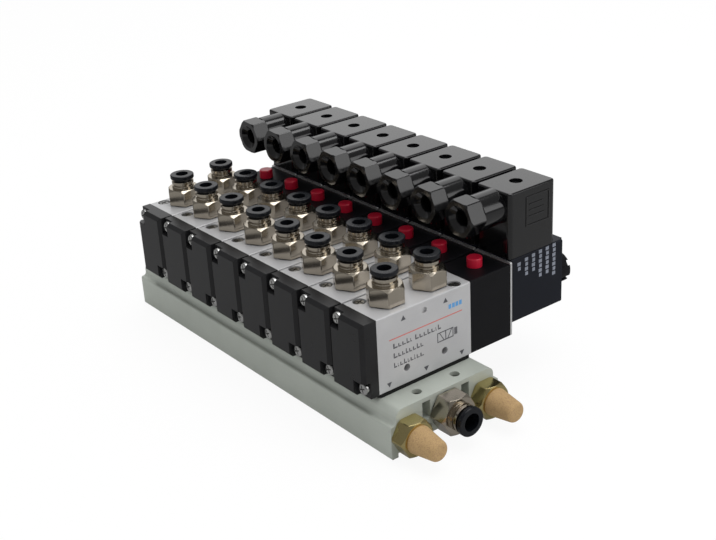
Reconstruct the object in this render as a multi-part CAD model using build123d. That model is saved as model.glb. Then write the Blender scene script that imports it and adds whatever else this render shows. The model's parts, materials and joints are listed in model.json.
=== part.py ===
from build123d import *
import os

# Pneumatic valve island: eight single-solenoid 5/2 spool valves on one extruded manifold.
# Millimetres. +X points to the coils, +Y runs along the manifold away from the supply end, +Z up.
# Everything is laid out about the manifold's own middle (x = 0, y = 0, feet at z = 0) and is
# moved at export so that the origin is the bottom centre of the whole island.

# ---- driving dimensions -------------------------------------------------------------------
STATIONS = 8
PITCH = 23.0                    # from one valve to the next
VALVE_WIDTH = 22.0
BODY_LENGTH = 52.0
BODY_HEIGHT = 35.0
FIT = 0.05                      # radial running clearance of every sliding fit
HOLE_ALLOWANCE = 0.2            # radial allowance of clearance holes

MANIFOLD_HEIGHT = 22.4
MANIFOLD_HALF_FOOT = 30.5       # half width of the outer side faces
LEDGE_WIDTH = 2.9
MANIFOLD_HALF_TOP = MANIFOLD_HALF_FOOT - LEDGE_WIDTH    # half width at the shoulder
MANIFOLD_END = 23.0             # end stock beyond the first and last valve's middle
SHOULDER_RADIUS = 3.6
LEDGE_Z = 15.5                  # height of the ledge under the shoulder
LEDGE_RADIUS = 1.8              # hollow between shoulder and side face
LEDGE_EDGE = 1.0                # round upper edge of the side face
FOOT_THICKNESS = 3.5
GALLERY_BOSS_Z = 2.0            # underside of the exhaust galleries
GALLERY_BOSS_X = 15.0           # inner edge of the exhaust galleries
WEB_Z = 9.0
SUPPLY_BOSS_HALF = 8.2
SUPPLY_BOSS_Z = 4.4
SUPPLY_Z = 12.6
SUPPLY_RADIUS = 5.0
EXHAUST_INSET = 8.7
EXHAUST_X = MANIFOLD_HALF_FOOT - EXHAUST_INSET
EXHAUST_Z = 9.8
EXHAUST_RADIUS = 5.0
PORT_RADIUS = 6.5               # end ports of the manifold
PORT_DEPTH = 12.0
SLOT_X = 11.0                   # hollow slots along the extrusion
SLOT_WIDTH = 4.4
SLOT_TOP = 20.4
SLOT_HEIGHT = 8.4
MOUNT_X = 10.8                  # holes for fixing the manifold to a panel
MOUNT_RADIUS = 2.2
MOUNT_INSET = 6.2               # from the manifold's end face

GASKET_THICKNESS = 1.6
GASKET_INSET = 0.1
FLOW_RADIUS = 2.5               # supply and exhaust passages between manifold and valve
EXHAUST_PASSAGE_X = 19.0
OUTLET_X = 11.7                 # outlet ports on the valve's top
OUTLET_RADIUS = 5.7
OUTLET_DEPTH = 9.0
SPOOL_RADIUS = 4.95
SPOOL_NECK_RADIUS = 3.0
SPOOL_TRAVEL = 3.0
SPOOL_REST_GAP = 3.6            # free bore before the first land, at rest
SPOOL_END_GAP = 0.6             # free bore after the last land
SPOOL_LANDS = ((SPOOL_REST_GAP - BODY_LENGTH / 2, -16.0), (-7.6, -3.6), (3.6, 7.6),
               (16.0, BODY_LENGTH / 2 - SPOOL_END_GAP))
CROSS_HOLE_X = 10.6
CROSS_HOLE_Z = 7.5              # above the valve's underside
CROSS_HOLE_RADIUS = 1.65
DIMPLE_RADIUS = 1.3
DIMPLE_DROP = 4.3

COVER_LENGTH = 8.0
COVER_BEVEL = 1.6
COVER_FLANGE = 4.4              # cover thickness under its screw heads
COVER_SCREW_Y = 7.6
COVER_SCREW_INSET = 3.6         # screw centre to the cover's top or bottom edge
SPRING_CHAMBER_RADIUS = 4.2
SPRING_CHAMBER_DEPTH = 5.0

SCREW_RADIUS = 1.5
SCREW_DEPTH = 3.0
SCREW_HEAD_RADIUS = 2.8
SCREW_HEAD_HEIGHT = 2.0
BODY_SCREW_X = 19.8
BODY_SCREW_Y = 7.5
BODY_SCREW_SINK = 2.2
BODY_SCREW_GRIP = 5.0           # thread depth in the manifold

PILOT_LENGTH = 24.2
BUTTON_X = 13.0                 # button's place along the pilot block
BUTTON_RADIUS = 3.5
BUTTON_RISE = 4.3
BUTTON_STEM_RADIUS = 2.0
BUTTON_STEM_LENGTH = 12.0
BUTTON_TRAVEL = 1.5
BUTTON_WELL = 3.0
BUTTON_SEATED = 1.2             # how far the button sits in its well at rest

PLATE_THICKNESS = 1.0
PLATE_RISE = 1.1
COIL_LENGTH = 32.3
COIL_WIDTH = 21.4
COIL_HEIGHT = 31.2
COIL_RISE = 2.0                 # coil's top above the valve's top
COIL_TOP = MANIFOLD_HEIGHT + GASKET_THICKNESS + BODY_HEIGHT + COIL_RISE
COIL_BOTTOM = COIL_TOP - COIL_HEIGHT
COIL_LUG_HEIGHT = 6.0           # ridge across the top of the coil's outer end
COIL_LUG_LENGTH = 1.2
COIL_LUG_WIDTH = 18.0
TUBE_RADIUS = 4.6               # armature guide tube
TUBE_WALL = 0.9
TUBE_FLANGE_RADIUS = 7.0
TUBE_FLANGE_LENGTH = 2.0
TUBE_TIP_LENGTH = 8.0
ARMATURE_LENGTH = 22.0
ARMATURE_TRAVEL = 0.8
ARMATURE_GAP = 0.4
NUT_RADIUS = 7.4
NUT_LENGTH = 10.0
NUT_SKIRT = 3.2
NUT_TEETH = 6

CONNECTOR_LENGTH = 28.2
CONNECTOR_WIDTH = 20.8
CONNECTOR_HEIGHT = 30.7
CONNECTOR_OVERHANG = 0.9        # past the coil's inner face
CONNECTOR_WALL = 2.6
CONNECTOR_CORNER = 2.0
CONNECTOR_EDGE = 0.9
CONNECTOR_ROOF = 6.6
CONNECTOR_SCREW_X = 64.5
CONNECTOR_SCREW_SINK = 4.0
CONNECTOR_SCREW_GRIP = 6.0
CONNECTOR_SCREW_WELL = 3.0
GLAND_RISE = 22.5               # cable axis above the coil's top
GLAND_Z = COIL_TOP + GLAND_RISE
GLAND_RADIUS = 8.2
GLAND_BARREL = 12.0
GLAND_THREAD_RADIUS = 6.4
GLAND_THREAD_LENGTH = 5.6
GLAND_HEX = 15.8
GLAND_NUT_LENGTH = 8.5
CABLE_RADIUS = 3.6
GLAND_FLARE_RADIUS = 6.0        # countersunk mouth of the gland nut
GLAND_FLARE_DEPTH = 2.0
GLAND_TURN = 26.0               # how far the nut happens to be turned, in degrees
TERMINAL_HEIGHT = 17.5
BLADE_THICKNESS = 0.9
BLADE_WIDTH = 5.0
BLADE_HEIGHT = 8.0
BLADE_OFFSETS = (-8.0, 0.0, 8.0)
EDGE = 0.6

SILENCER_HEX = 15.6
SILENCER_HEX_LENGTH = 7.5
SILENCER_STUB = 9.0
SILENCER_CONE_BASE = 6.4
SILENCER_CONE_TIP = 4.5
SILENCER_CONE_LENGTH = 13.0
SILENCER_CONE_ROUND = 1.9
SILENCER_WALL = 2.0
PLUG_HEAD = 1.0
PLUG_SOCKET = 5.0


class TubeSize:
    """Sizes of one push-in fitting, from its seat to the mouth of its release collar."""

    def __init__(self, tube_radius, hex_size, hex_length, neck_radius, collar_radius, stub_radius):
        self.tube_radius = tube_radius
        self.hex_size = hex_size
        self.hex_length = hex_length
        self.neck_radius = neck_radius
        self.collar_radius = collar_radius
        self.stub_radius = stub_radius


FITTING_SEAL = 0.5
FITTING_NECK_LENGTH = 3.5
FITTING_STUB_LENGTH = 8.0
FITTING_GROOVE = 0.8
FITTING_GROOVE_WIDTH = 1.0
FITTING_FLOOR = 1.0             # tube stop above the fitting's seat
COLLAR_FLANGE = 2.2
COLLAR_TRAVEL = 0.9
COLLAR_GAP = 1.1
COLLAR_WALL = 1.1
COLLAR_STEM = 6.4
OUTLET_FITTING = TubeSize(3.1, 15.0, 8.1, 5.5, 5.95, OUTLET_RADIUS - FIT)
SUPPLY_FITTING = TubeSize(4.1, 17.0, 8.6, 6.4, 6.7, PORT_RADIUS - FIT)

# ---- edges, roundings and small gaps --------------------------------------------------------
TOLERANCE = 0.01
HEX_CORNER = 0.866              # a hexagon's half width over its corner radius
HEX_RELIEF = 0.15
SCREW_RECESS = 0.9
SCREW_HEAD_ROUND = 0.45         # share of the head's height
SCREW_CROSS_SHARE = 0.62        # share of the head's radius
SCREW_CROSS_WIDTH = 0.55
SCREW_ROOM = 0.8                # free space round a screw head
COVER_SCREW_RAISE = 0.6
GASKET_CORNER = 2.0
BODY_CHAMFER = 0.4
PILOT_CHAMFER = 0.5
DIMPLE_DEPTH = 1.0
TUBE_NOSE = 4.0
PLATE_CORNER = 0.8
ROD_ROUND = 0.5
COIL_CORNER = 1.0
BLADE_ROOT = 1.0
NUT_CORE_SHARE = 0.72           # share of the nut's radius
NUT_CORE_DEPTH = 1.0
NUT_NOTCH_WIDTH = 2.6
NUT_NOTCH_DEPTH = 2.8
TERMINAL_STANDOFF = 2.0
GLAND_CHAMFER = 0.7
FITTING_CHAMFER = 1.25

# ---- places that follow from the sizes ----------------------------------------------------
VALVE_Z = MANIFOLD_HEIGHT + GASKET_THICKNESS
TOP_Z = VALVE_Z + BODY_HEIGHT
AXIS_Z = VALVE_Z + BODY_HEIGHT / 2
HALF_BODY = BODY_LENGTH / 2
HALF_WIDTH = VALVE_WIDTH / 2
PILOT_END = HALF_BODY + PILOT_LENGTH
COIL_START = PILOT_END + PLATE_THICKNESS
COIL_END = COIL_START + COIL_LENGTH
NUT_END = COIL_END + NUT_LENGTH
CONNECTOR_START = COIL_START - CONNECTOR_OVERHANG
CONNECTOR_END = CONNECTOR_START + CONNECTOR_LENGTH
CONNECTOR_TOP = COIL_TOP + CONNECTOR_HEIGHT
BARREL_START = CONNECTOR_START - GLAND_BARREL
GLAND_START = BARREL_START - GLAND_NUT_LENGTH
COVER_X = -HALF_BODY - COVER_LENGTH
STATION_Y = [(i - (STATIONS - 1) / 2) * PITCH for i in range(STATIONS)]
HALF_MANIFOLD = (STATIONS - 1) * PITCH / 2 + MANIFOLD_END
SILENCER_REACH = SILENCER_HEX_LENGTH + SILENCER_CONE_LENGTH
ORIGIN_X = (COVER_X + NUT_END) / 2
ORIGIN_Y = (PLUG_HEAD - SILENCER_REACH) / 2


# ---- helpers ------------------------------------------------------------------------------
def block(x0, x1, y0, y1, z0, z1):
    """Box between two corners."""
    return Pos((x0 + x1) / 2, (y0 + y1) / 2, (z0 + z1) / 2) * Box(x1 - x0, y1 - y0, z1 - z0)


def rod_x(radius, x0, x1, y=0.0, z=0.0):
    """Cylinder along X."""
    return Pos((x0 + x1) / 2, y, z) * Rot(0, 90, 0) * Cylinder(radius, x1 - x0)


def rod_y(radius, y0, y1, x=0.0, z=0.0):
    """Cylinder along Y."""
    return Pos(x, (y0 + y1) / 2, z) * Rot(90, 0, 0) * Cylinder(radius, y1 - y0)


def rod_z(radius, z0, z1, x=0.0, y=0.0):
    """Cylinder along Z."""
    return Pos(x, y, (z0 + z1) / 2) * Cylinder(radius, z1 - z0)


def hex_prism(across_flats, height, top_chamfer, bottom_chamfer=0.0):
    """Hexagon standing on z = 0 with its corners turned off at the ends."""
    prism = extrude(RegularPolygon(across_flats / 2, 6, major_radius=False), height)
    corner = across_flats / 2 / HEX_CORNER - HEX_RELIEF
    turned = rod_z(corner, 0, height)
    turned = chamfer(turned.edges().group_by(Axis.Z)[-1], top_chamfer)
    if bottom_chamfer:
        turned = chamfer(turned.edges().group_by(Axis.Z)[0], bottom_chamfer)
    return prism & turned


def pan_screw(shank_length, recess=SCREW_RECESS):
    """Cross-recess screw along Z: head underside at z = 0, shank below."""
    head = rod_z(SCREW_HEAD_RADIUS, 0, SCREW_HEAD_HEIGHT)
    head = fillet(head.edges().group_by(Axis.Z)[-1], SCREW_HEAD_HEIGHT * SCREW_HEAD_ROUND)
    screw = head + rod_z(SCREW_RADIUS, -shank_length, 0)
    arm = SCREW_HEAD_RADIUS * SCREW_CROSS_SHARE
    for turn in (0, 90):
        cross = Box(2 * arm, SCREW_CROSS_WIDTH, 2 * recess)
        screw -= Pos(0, 0, SCREW_HEAD_HEIGHT) * Rot(0, 0, turn + 20) * cross
    return screw


def solids_of(shape):
    """Solids of a shape as a flat list."""
    return list(shape.solids())


def save(name, shapes):
    """Write one node, moved to the island's own origin."""
    solids = [s for shape in shapes for s in solids_of(Pos(-ORIGIN_X, -ORIGIN_Y, 0) * shape)]
    export_step(Compound(children=solids), f"parts/{name}.step")


def at_stations(shape):
    """One copy of a valve piece at each station."""
    return [Pos(0, y, 0) * shape for y in STATION_Y]


# ---- manifold -----------------------------------------------------------------------------
def manifold_profile():
    """Closed section of the extrusion in X and Z, both sides mirrored."""
    top = [(0, MANIFOLD_HEIGHT), (MANIFOLD_HALF_TOP, MANIFOLD_HEIGHT)]
    side = [(MANIFOLD_HALF_TOP, LEDGE_Z), (MANIFOLD_HALF_FOOT, LEDGE_Z), (MANIFOLD_HALF_FOOT, 0)]
    foot = [(MANIFOLD_HALF_FOOT - FOOT_THICKNESS, 0), (MANIFOLD_HALF_FOOT - FOOT_THICKNESS, GALLERY_BOSS_Z)]
    boss = [(GALLERY_BOSS_X, GALLERY_BOSS_Z), (GALLERY_BOSS_X, WEB_Z)]
    supply = [(SUPPLY_BOSS_HALF, WEB_Z), (SUPPLY_BOSS_HALF, SUPPLY_BOSS_Z), (0, SUPPLY_BOSS_Z)]
    right = top + side + foot + boss + supply
    left = [(-x, z) for x, z in reversed(right[1:-1])]
    return right + left


def manifold():
    """Extruded base with galleries, passages, slots and fixing holes."""
    face = make_face(Plane.XZ * Polyline(*manifold_profile(), close=True))
    bar = extrude(face, amount=HALF_MANIFOLD, both=True)
    lengthwise = bar.edges().filter_by(Axis.Y)

    def corner(x, z):
        return [e for e in lengthwise
                if abs(abs(e.center().X) - x) < TOLERANCE and abs(e.center().Z - z) < TOLERANCE]

    bar = fillet(corner(MANIFOLD_HALF_TOP, MANIFOLD_HEIGHT), SHOULDER_RADIUS)
    lengthwise = bar.edges().filter_by(Axis.Y)
    bar = fillet(corner(MANIFOLD_HALF_TOP, LEDGE_Z), LEDGE_RADIUS)
    lengthwise = bar.edges().filter_by(Axis.Y)
    bar = fillet(corner(MANIFOLD_HALF_FOOT, LEDGE_Z), LEDGE_EDGE)
    lengthwise = bar.edges().filter_by(Axis.Y)
    bar = fillet(corner(MANIFOLD_HALF_FOOT, 0), EDGE)
    bar -= rod_y(SUPPLY_RADIUS, -HALF_MANIFOLD, HALF_MANIFOLD, 0, SUPPLY_Z)
    ports = [(0, SUPPLY_Z), (-EXHAUST_X, EXHAUST_Z), (EXHAUST_X, EXHAUST_Z)]
    for x, z in ports:
        if x:
            bar -= rod_y(EXHAUST_RADIUS, -HALF_MANIFOLD, HALF_MANIFOLD, x, z)
        bar -= rod_y(PORT_RADIUS, -HALF_MANIFOLD, PORT_DEPTH - HALF_MANIFOLD, x, z)
        bar -= rod_y(PORT_RADIUS, HALF_MANIFOLD - PORT_DEPTH, HALF_MANIFOLD, x, z)
    for side in (-1, 1):
        slot_x = side * SLOT_X
        bar -= block(slot_x - SLOT_WIDTH / 2, slot_x + SLOT_WIDTH / 2, -HALF_MANIFOLD, HALF_MANIFOLD,
                     SLOT_TOP - SLOT_HEIGHT, SLOT_TOP)
        for end in (-1, 1):
            mount_y = end * (HALF_MANIFOLD - MOUNT_INSET)
            bar -= rod_z(MOUNT_RADIUS, 0, MANIFOLD_HEIGHT, side * MOUNT_X, mount_y)
    for y in STATION_Y:
        bar -= rod_z(FLOW_RADIUS, SUPPLY_Z, MANIFOLD_HEIGHT, 0, y)
        for side in (-1, 1):
            bar -= rod_z(FLOW_RADIUS, EXHAUST_Z, MANIFOLD_HEIGHT, side * EXHAUST_PASSAGE_X, y)
            bar -= rod_z(SCREW_RADIUS + FIT, MANIFOLD_HEIGHT - BODY_SCREW_GRIP - EDGE, MANIFOLD_HEIGHT,
                         side * BODY_SCREW_X, y - side * BODY_SCREW_Y)
    return bar


def plug():
    """Socket plug along Y: head face outward at +Y, seat at y = 0."""
    body = rod_y(PORT_RADIUS - FIT, -SILENCER_STUB, 0) + rod_y(PORT_RADIUS + PLUG_HEAD, 0, PLUG_HEAD)
    socket = Rot(-90, 0, 0) * extrude(RegularPolygon(PLUG_SOCKET / 2, 6, major_radius=False), PLUG_SOCKET)
    return body - Pos(0, PLUG_HEAD - PLUG_SOCKET + TOLERANCE, 0) * socket


# ---- valve ---------------------------------------------------------------------------------
def passages(z0, z1):
    """Supply and exhaust passages and screw holes shared by gasket and valve."""
    cut = rod_z(FLOW_RADIUS, z0, z1)
    for side in (-1, 1):
        cut += rod_z(FLOW_RADIUS, z0, z1, side * EXHAUST_PASSAGE_X)
        cut += rod_z(SCREW_RADIUS + HOLE_ALLOWANCE, z0, z1, side * BODY_SCREW_X, -side * BODY_SCREW_Y)
    return cut


def gasket():
    """Flat gasket between valve and manifold."""
    sheet = block(GASKET_INSET - HALF_BODY, HALF_BODY - GASKET_INSET, GASKET_INSET - HALF_WIDTH,
                  HALF_WIDTH - GASKET_INSET, MANIFOLD_HEIGHT, VALVE_Z)
    sheet = fillet(sheet.edges().filter_by(Axis.Z), GASKET_CORNER)
    return sheet - passages(MANIFOLD_HEIGHT, VALVE_Z)


def valve_body():
    """Drilled block with its spool bore, ports and screw holes."""
    body = block(-HALF_BODY, HALF_BODY, -HALF_WIDTH, HALF_WIDTH, VALVE_Z, TOP_Z)
    body = chamfer(body.edges().filter_by(Axis.X), BODY_CHAMFER)
    body -= rod_x(SPOOL_RADIUS + FIT, -HALF_BODY, HALF_BODY, 0, AXIS_Z)
    body -= rod_z(FLOW_RADIUS, VALVE_Z, AXIS_Z)
    for side in (-1, 1):
        screw_y = -side * BODY_SCREW_Y
        body -= rod_z(FLOW_RADIUS, VALVE_Z, AXIS_Z, side * EXHAUST_PASSAGE_X)
        body -= rod_z(SCREW_RADIUS + HOLE_ALLOWANCE, VALVE_Z, TOP_Z, side * BODY_SCREW_X, screw_y)
        body -= rod_z(SCREW_HEAD_RADIUS + HOLE_ALLOWANCE, TOP_Z - BODY_SCREW_SINK, TOP_Z,
                      side * BODY_SCREW_X, screw_y)
        body -= rod_z(FLOW_RADIUS, AXIS_Z, TOP_Z, side * OUTLET_X)
        body -= rod_z(OUTLET_RADIUS, TOP_Z - OUTLET_DEPTH, TOP_Z, side * OUTLET_X)
        body -= rod_y(CROSS_HOLE_RADIUS, -HALF_WIDTH, HALF_WIDTH, side * CROSS_HOLE_X, VALVE_Z + CROSS_HOLE_Z)
        body -= rod_y(DIMPLE_RADIUS, side * HALF_WIDTH - DIMPLE_DEPTH, side * HALF_WIDTH + DIMPLE_DEPTH,
                      0, TOP_Z - DIMPLE_DROP)
    for y, z in cover_screw_places():
        body -= rod_x(SCREW_RADIUS + FIT, -HALF_BODY, SCREW_DEPTH + HOLE_ALLOWANCE - HALF_BODY, y, z)
    return body


def cover_screw_places():
    """Y and Z of the two screws of an end cover, on one diagonal."""
    upper = TOP_Z - COVER_SCREW_INSET
    lower = VALVE_Z + COVER_SCREW_INSET + COVER_SCREW_RAISE
    return ((COVER_SCREW_Y, upper), (-COVER_SCREW_Y, lower))


def end_cover():
    """Moulded end cover with a raised bevelled panel and two screw recesses."""
    cover = block(COVER_X, -HALF_BODY, -HALF_WIDTH, HALF_WIDTH, VALVE_Z, TOP_Z)
    cover = chamfer(cover.faces().sort_by(Axis.X)[0].edges(), COVER_BEVEL)
    head_room = SCREW_HEAD_RADIUS + SCREW_ROOM
    for y, z in cover_screw_places():
        y_out = HALF_WIDTH if y > 0 else -HALF_WIDTH
        z_out = TOP_Z if z > AXIS_Z else VALVE_Z
        y_in = y - head_room if y > 0 else y + head_room
        z_in = z - head_room if z > AXIS_Z else z + head_room
        cover -= block(COVER_X, -HALF_BODY - COVER_FLANGE, min(y_in, y_out), max(y_in, y_out),
                       min(z_in, z_out), max(z_in, z_out))
        cover -= rod_x(SCREW_RADIUS + HOLE_ALLOWANCE, -HALF_BODY - COVER_FLANGE, -HALF_BODY, y, z)
    cover -= rod_x(SPRING_CHAMBER_RADIUS, -HALF_BODY - SPRING_CHAMBER_DEPTH, -HALF_BODY, 0, AXIS_Z)
    return cover


def cover_screw(y, z):
    """Screw of an end cover, head at -X."""
    return Pos(-HALF_BODY - COVER_FLANGE, y, z) * Rot(0, -90, 0) * pan_screw(COVER_FLANGE + SCREW_DEPTH)


def body_screw(side):
    """Long screw from the valve's top into the manifold."""
    length = BODY_HEIGHT - BODY_SCREW_SINK + GASKET_THICKNESS + BODY_SCREW_GRIP
    return Pos(side * BODY_SCREW_X, -side * BODY_SCREW_Y, TOP_Z - BODY_SCREW_SINK) * pan_screw(length)


def spool():
    """Turned spool: lands on a thin core, with a short end that meets the return spring."""
    core_start = SPOOL_LANDS[0][0] - SPOOL_TRAVEL
    core = rod_x(SPOOL_NECK_RADIUS, core_start, SPOOL_LANDS[-1][1], 0, AXIS_Z)
    for x0, x1 in SPOOL_LANDS:
        core += rod_x(SPOOL_RADIUS, x0, x1, 0, AXIS_Z)
    return core


# ---- pilot and coil -------------------------------------------------------------------------
def pilot_body():
    """Pilot block with the button well, the armature seat and the valve passage."""
    body = block(HALF_BODY, PILOT_END, -HALF_WIDTH, HALF_WIDTH, VALVE_Z, TOP_Z)
    body = chamfer(body.edges().filter_by(Axis.X), PILOT_CHAMFER)
    x = HALF_BODY + BUTTON_X
    stem_depth = BUTTON_STEM_LENGTH + BUTTON_TRAVEL + BUTTON_SEATED + EDGE
    body -= rod_z(BUTTON_RADIUS + FIT, TOP_Z - BUTTON_WELL, TOP_Z, x)
    body -= rod_z(BUTTON_STEM_RADIUS + FIT, TOP_Z - stem_depth, TOP_Z, x)
    body -= rod_x(TUBE_FLANGE_RADIUS + HOLE_ALLOWANCE, PILOT_END - TUBE_FLANGE_LENGTH, PILOT_END, 0, AXIS_Z)
    body -= rod_x(TUBE_RADIUS, PILOT_END - TUBE_FLANGE_LENGTH - TUBE_NOSE, PILOT_END, 0, AXIS_Z)
    return body


def override_button():
    """Manual override: a round cap on a guide stem, pressed downward."""
    x = HALF_BODY + BUTTON_X
    bottom = TOP_Z - BUTTON_SEATED
    cap = rod_z(BUTTON_RADIUS, bottom, TOP_Z + BUTTON_RISE, x)
    cap = fillet(cap.edges().group_by(Axis.Z)[-1], EDGE)
    return cap + rod_z(BUTTON_STEM_RADIUS, bottom - BUTTON_STEM_LENGTH, bottom, x)


def coil_plate():
    """Thin steel plate between pilot block and coil."""
    plate = block(PILOT_END, COIL_START, -HALF_WIDTH, HALF_WIDTH, VALVE_Z, TOP_Z + PLATE_RISE)
    plate = fillet(plate.edges().filter_by(Axis.X), PLATE_CORNER)
    return plate - rod_x(TUBE_RADIUS + HOLE_ALLOWANCE, PILOT_END, COIL_START, 0, AXIS_Z)


def armature_tube():
    """Guide tube with a flange at the pilot and a solid threaded tip."""
    start = PILOT_END - TUBE_FLANGE_LENGTH
    tube = rod_x(TUBE_RADIUS, start, COIL_END, 0, AXIS_Z)
    tube += rod_x(TUBE_FLANGE_RADIUS, start, PILOT_END, 0, AXIS_Z)
    tube += rod_x(TUBE_RADIUS - TUBE_WALL, COIL_END, COIL_END + TUBE_TIP_LENGTH, 0, AXIS_Z)
    room = ARMATURE_LENGTH + ARMATURE_TRAVEL + ARMATURE_GAP
    return tube - rod_x(TUBE_RADIUS - TUBE_WALL, start, start + room, 0, AXIS_Z)


def armature():
    """Sliding iron core inside the guide tube."""
    start = PILOT_END - TUBE_FLANGE_LENGTH
    core = rod_x(TUBE_RADIUS - TUBE_WALL - FIT, start, start + ARMATURE_LENGTH, 0, AXIS_Z)
    return fillet(core.edges(), ROD_ROUND)


def coil():
    """Moulded coil with its tube hole, connector blades and end lug."""
    body = block(COIL_START, COIL_END, -COIL_WIDTH / 2, COIL_WIDTH / 2, COIL_BOTTOM, COIL_TOP)
    body = fillet(body.edges().filter_by(Axis.X), COIL_CORNER)
    body += block(COIL_END, COIL_END + COIL_LUG_LENGTH, -COIL_LUG_WIDTH / 2, COIL_LUG_WIDTH / 2,
                  COIL_TOP - COIL_LUG_HEIGHT, COIL_TOP)
    for offset in BLADE_OFFSETS:
        x = CONNECTOR_SCREW_X + offset
        body += block(x - BLADE_THICKNESS / 2, x + BLADE_THICKNESS / 2, blade_y(offset) - BLADE_WIDTH / 2,
                      blade_y(offset) + BLADE_WIDTH / 2, COIL_TOP - BLADE_ROOT, COIL_TOP + BLADE_HEIGHT)
    body -= rod_z(SCREW_RADIUS + FIT, COIL_TOP - CONNECTOR_SCREW_GRIP - EDGE, COIL_TOP, CONNECTOR_SCREW_X)
    return body - rod_x(TUBE_RADIUS + HOLE_ALLOWANCE, COIL_START, COIL_END, 0, AXIS_Z)


def blade_y(offset):
    """The middle blade stands beside the screw, the outer two in line with it."""
    return 0.0 if offset else BLADE_WIDTH / 2 + SCREW_RADIUS + BLADE_ROOT


def coil_nut():
    """Castellated plastic nut that clamps the coil on its tube."""
    nut = rod_x(NUT_RADIUS, COIL_END, NUT_END - EDGE, 0, AXIS_Z)
    nut -= rod_x(TUBE_RADIUS - TUBE_WALL + FIT, COIL_END, NUT_END, 0, AXIS_Z)
    nut += rod_x(NUT_RADIUS * NUT_CORE_SHARE, NUT_END - EDGE - NUT_CORE_DEPTH, NUT_END, 0, AXIS_Z)
    for tooth in range(NUT_TEETH):
        notch = Box(NUT_LENGTH, NUT_NOTCH_WIDTH, NUT_NOTCH_DEPTH)
        notch = Pos(COIL_END + NUT_SKIRT + NUT_LENGTH / 2, 0, NUT_RADIUS) * notch
        nut -= Pos(0, 0, AXIS_Z) * Rot(tooth * 360 / NUT_TEETH, 0, 0) * notch
    return nut


def connector_base():
    """Terminal block inside the connector, slotted for the coil's blades."""
    gap = 0.3
    x0 = CONNECTOR_START + CONNECTOR_WALL + gap
    x1 = CONNECTOR_END - CONNECTOR_WALL - gap
    half = CONNECTOR_WIDTH / 2 - CONNECTOR_WALL - gap
    base = block(x0, x1, -half, half, COIL_TOP, COIL_TOP + TERMINAL_HEIGHT)
    base -= rod_z(SCREW_RADIUS + HOLE_ALLOWANCE, COIL_TOP, COIL_TOP + TERMINAL_HEIGHT, CONNECTOR_SCREW_X)
    for offset in BLADE_OFFSETS:
        x = CONNECTOR_SCREW_X + offset
        width = BLADE_WIDTH / 2 + HOLE_ALLOWANCE
        thick = BLADE_THICKNESS / 2 + HOLE_ALLOWANCE
        y = blade_y(offset)
        base -= block(x - thick, x + thick, y - width, y + width, COIL_TOP, COIL_TOP + BLADE_HEIGHT + EDGE)
    return base


def connector_housing():
    """Angled connector housing with its cable barrel."""
    half = CONNECTOR_WIDTH / 2
    shell = block(CONNECTOR_START, CONNECTOR_END, -half, half, COIL_TOP, CONNECTOR_TOP)
    shell = fillet(shell.edges().filter_by(Axis.Z), CONNECTOR_CORNER)
    shell = fillet(shell.edges().group_by(Axis.Z)[-1], CONNECTOR_EDGE)
    middle = CONNECTOR_START + CONNECTOR_WALL + TERMINAL_STANDOFF
    shell += rod_x(GLAND_RADIUS, BARREL_START, middle, 0, GLAND_Z)
    shell += rod_x(GLAND_THREAD_RADIUS, BARREL_START - GLAND_THREAD_LENGTH, middle, 0, GLAND_Z)
    wall = CONNECTOR_WALL
    roof = CONNECTOR_TOP - CONNECTOR_ROOF
    shell -= block(CONNECTOR_START + wall, CONNECTOR_END - wall, wall - half, half - wall, COIL_TOP, roof)
    shell -= rod_x(CABLE_RADIUS, BARREL_START - GLAND_THREAD_LENGTH, middle, 0, GLAND_Z)
    shell -= rod_z(SCREW_RADIUS + HOLE_ALLOWANCE, roof, CONNECTOR_TOP, CONNECTOR_SCREW_X)
    well_z = CONNECTOR_TOP - CONNECTOR_SCREW_SINK
    return shell - rod_z(CONNECTOR_SCREW_WELL, well_z, CONNECTOR_TOP, CONNECTOR_SCREW_X)


def gland_nut():
    """Hexagon nut that closes the cable barrel, with the cable hole through it."""
    nut = hex_prism(GLAND_HEX, GLAND_NUT_LENGTH, GLAND_CHAMFER, BODY_CHAMFER)
    nut -= rod_z(CABLE_RADIUS, 0, GLAND_NUT_LENGTH)
    nut -= rod_z(GLAND_THREAD_RADIUS + FIT, 0, GLAND_THREAD_LENGTH + FIT)
    flare = Cone(CABLE_RADIUS, GLAND_FLARE_RADIUS, GLAND_FLARE_DEPTH)
    nut -= Pos(0, 0, GLAND_NUT_LENGTH - GLAND_FLARE_DEPTH / 2) * flare
    return Pos(BARREL_START, 0, GLAND_Z) * Rot(0, -90, 0) * Rot(0, 0, GLAND_TURN) * nut


def connector_screw():
    """Screw through the connector into the coil."""
    seat = CONNECTOR_TOP - CONNECTOR_SCREW_SINK
    return Pos(CONNECTOR_SCREW_X, 0, seat) * pan_screw(seat - COIL_TOP + CONNECTOR_SCREW_GRIP)


# ---- fittings and silencers ------------------------------------------------------------------
def neck_top(size):
    """Height of the fitting's neck above its seat."""
    return FITTING_SEAL + size.hex_length + FITTING_NECK_LENGTH


def mouth(size):
    """Height of the release collar's face above the seat, at rest."""
    return neck_top(size) + COLLAR_GAP + COLLAR_FLANGE


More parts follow.
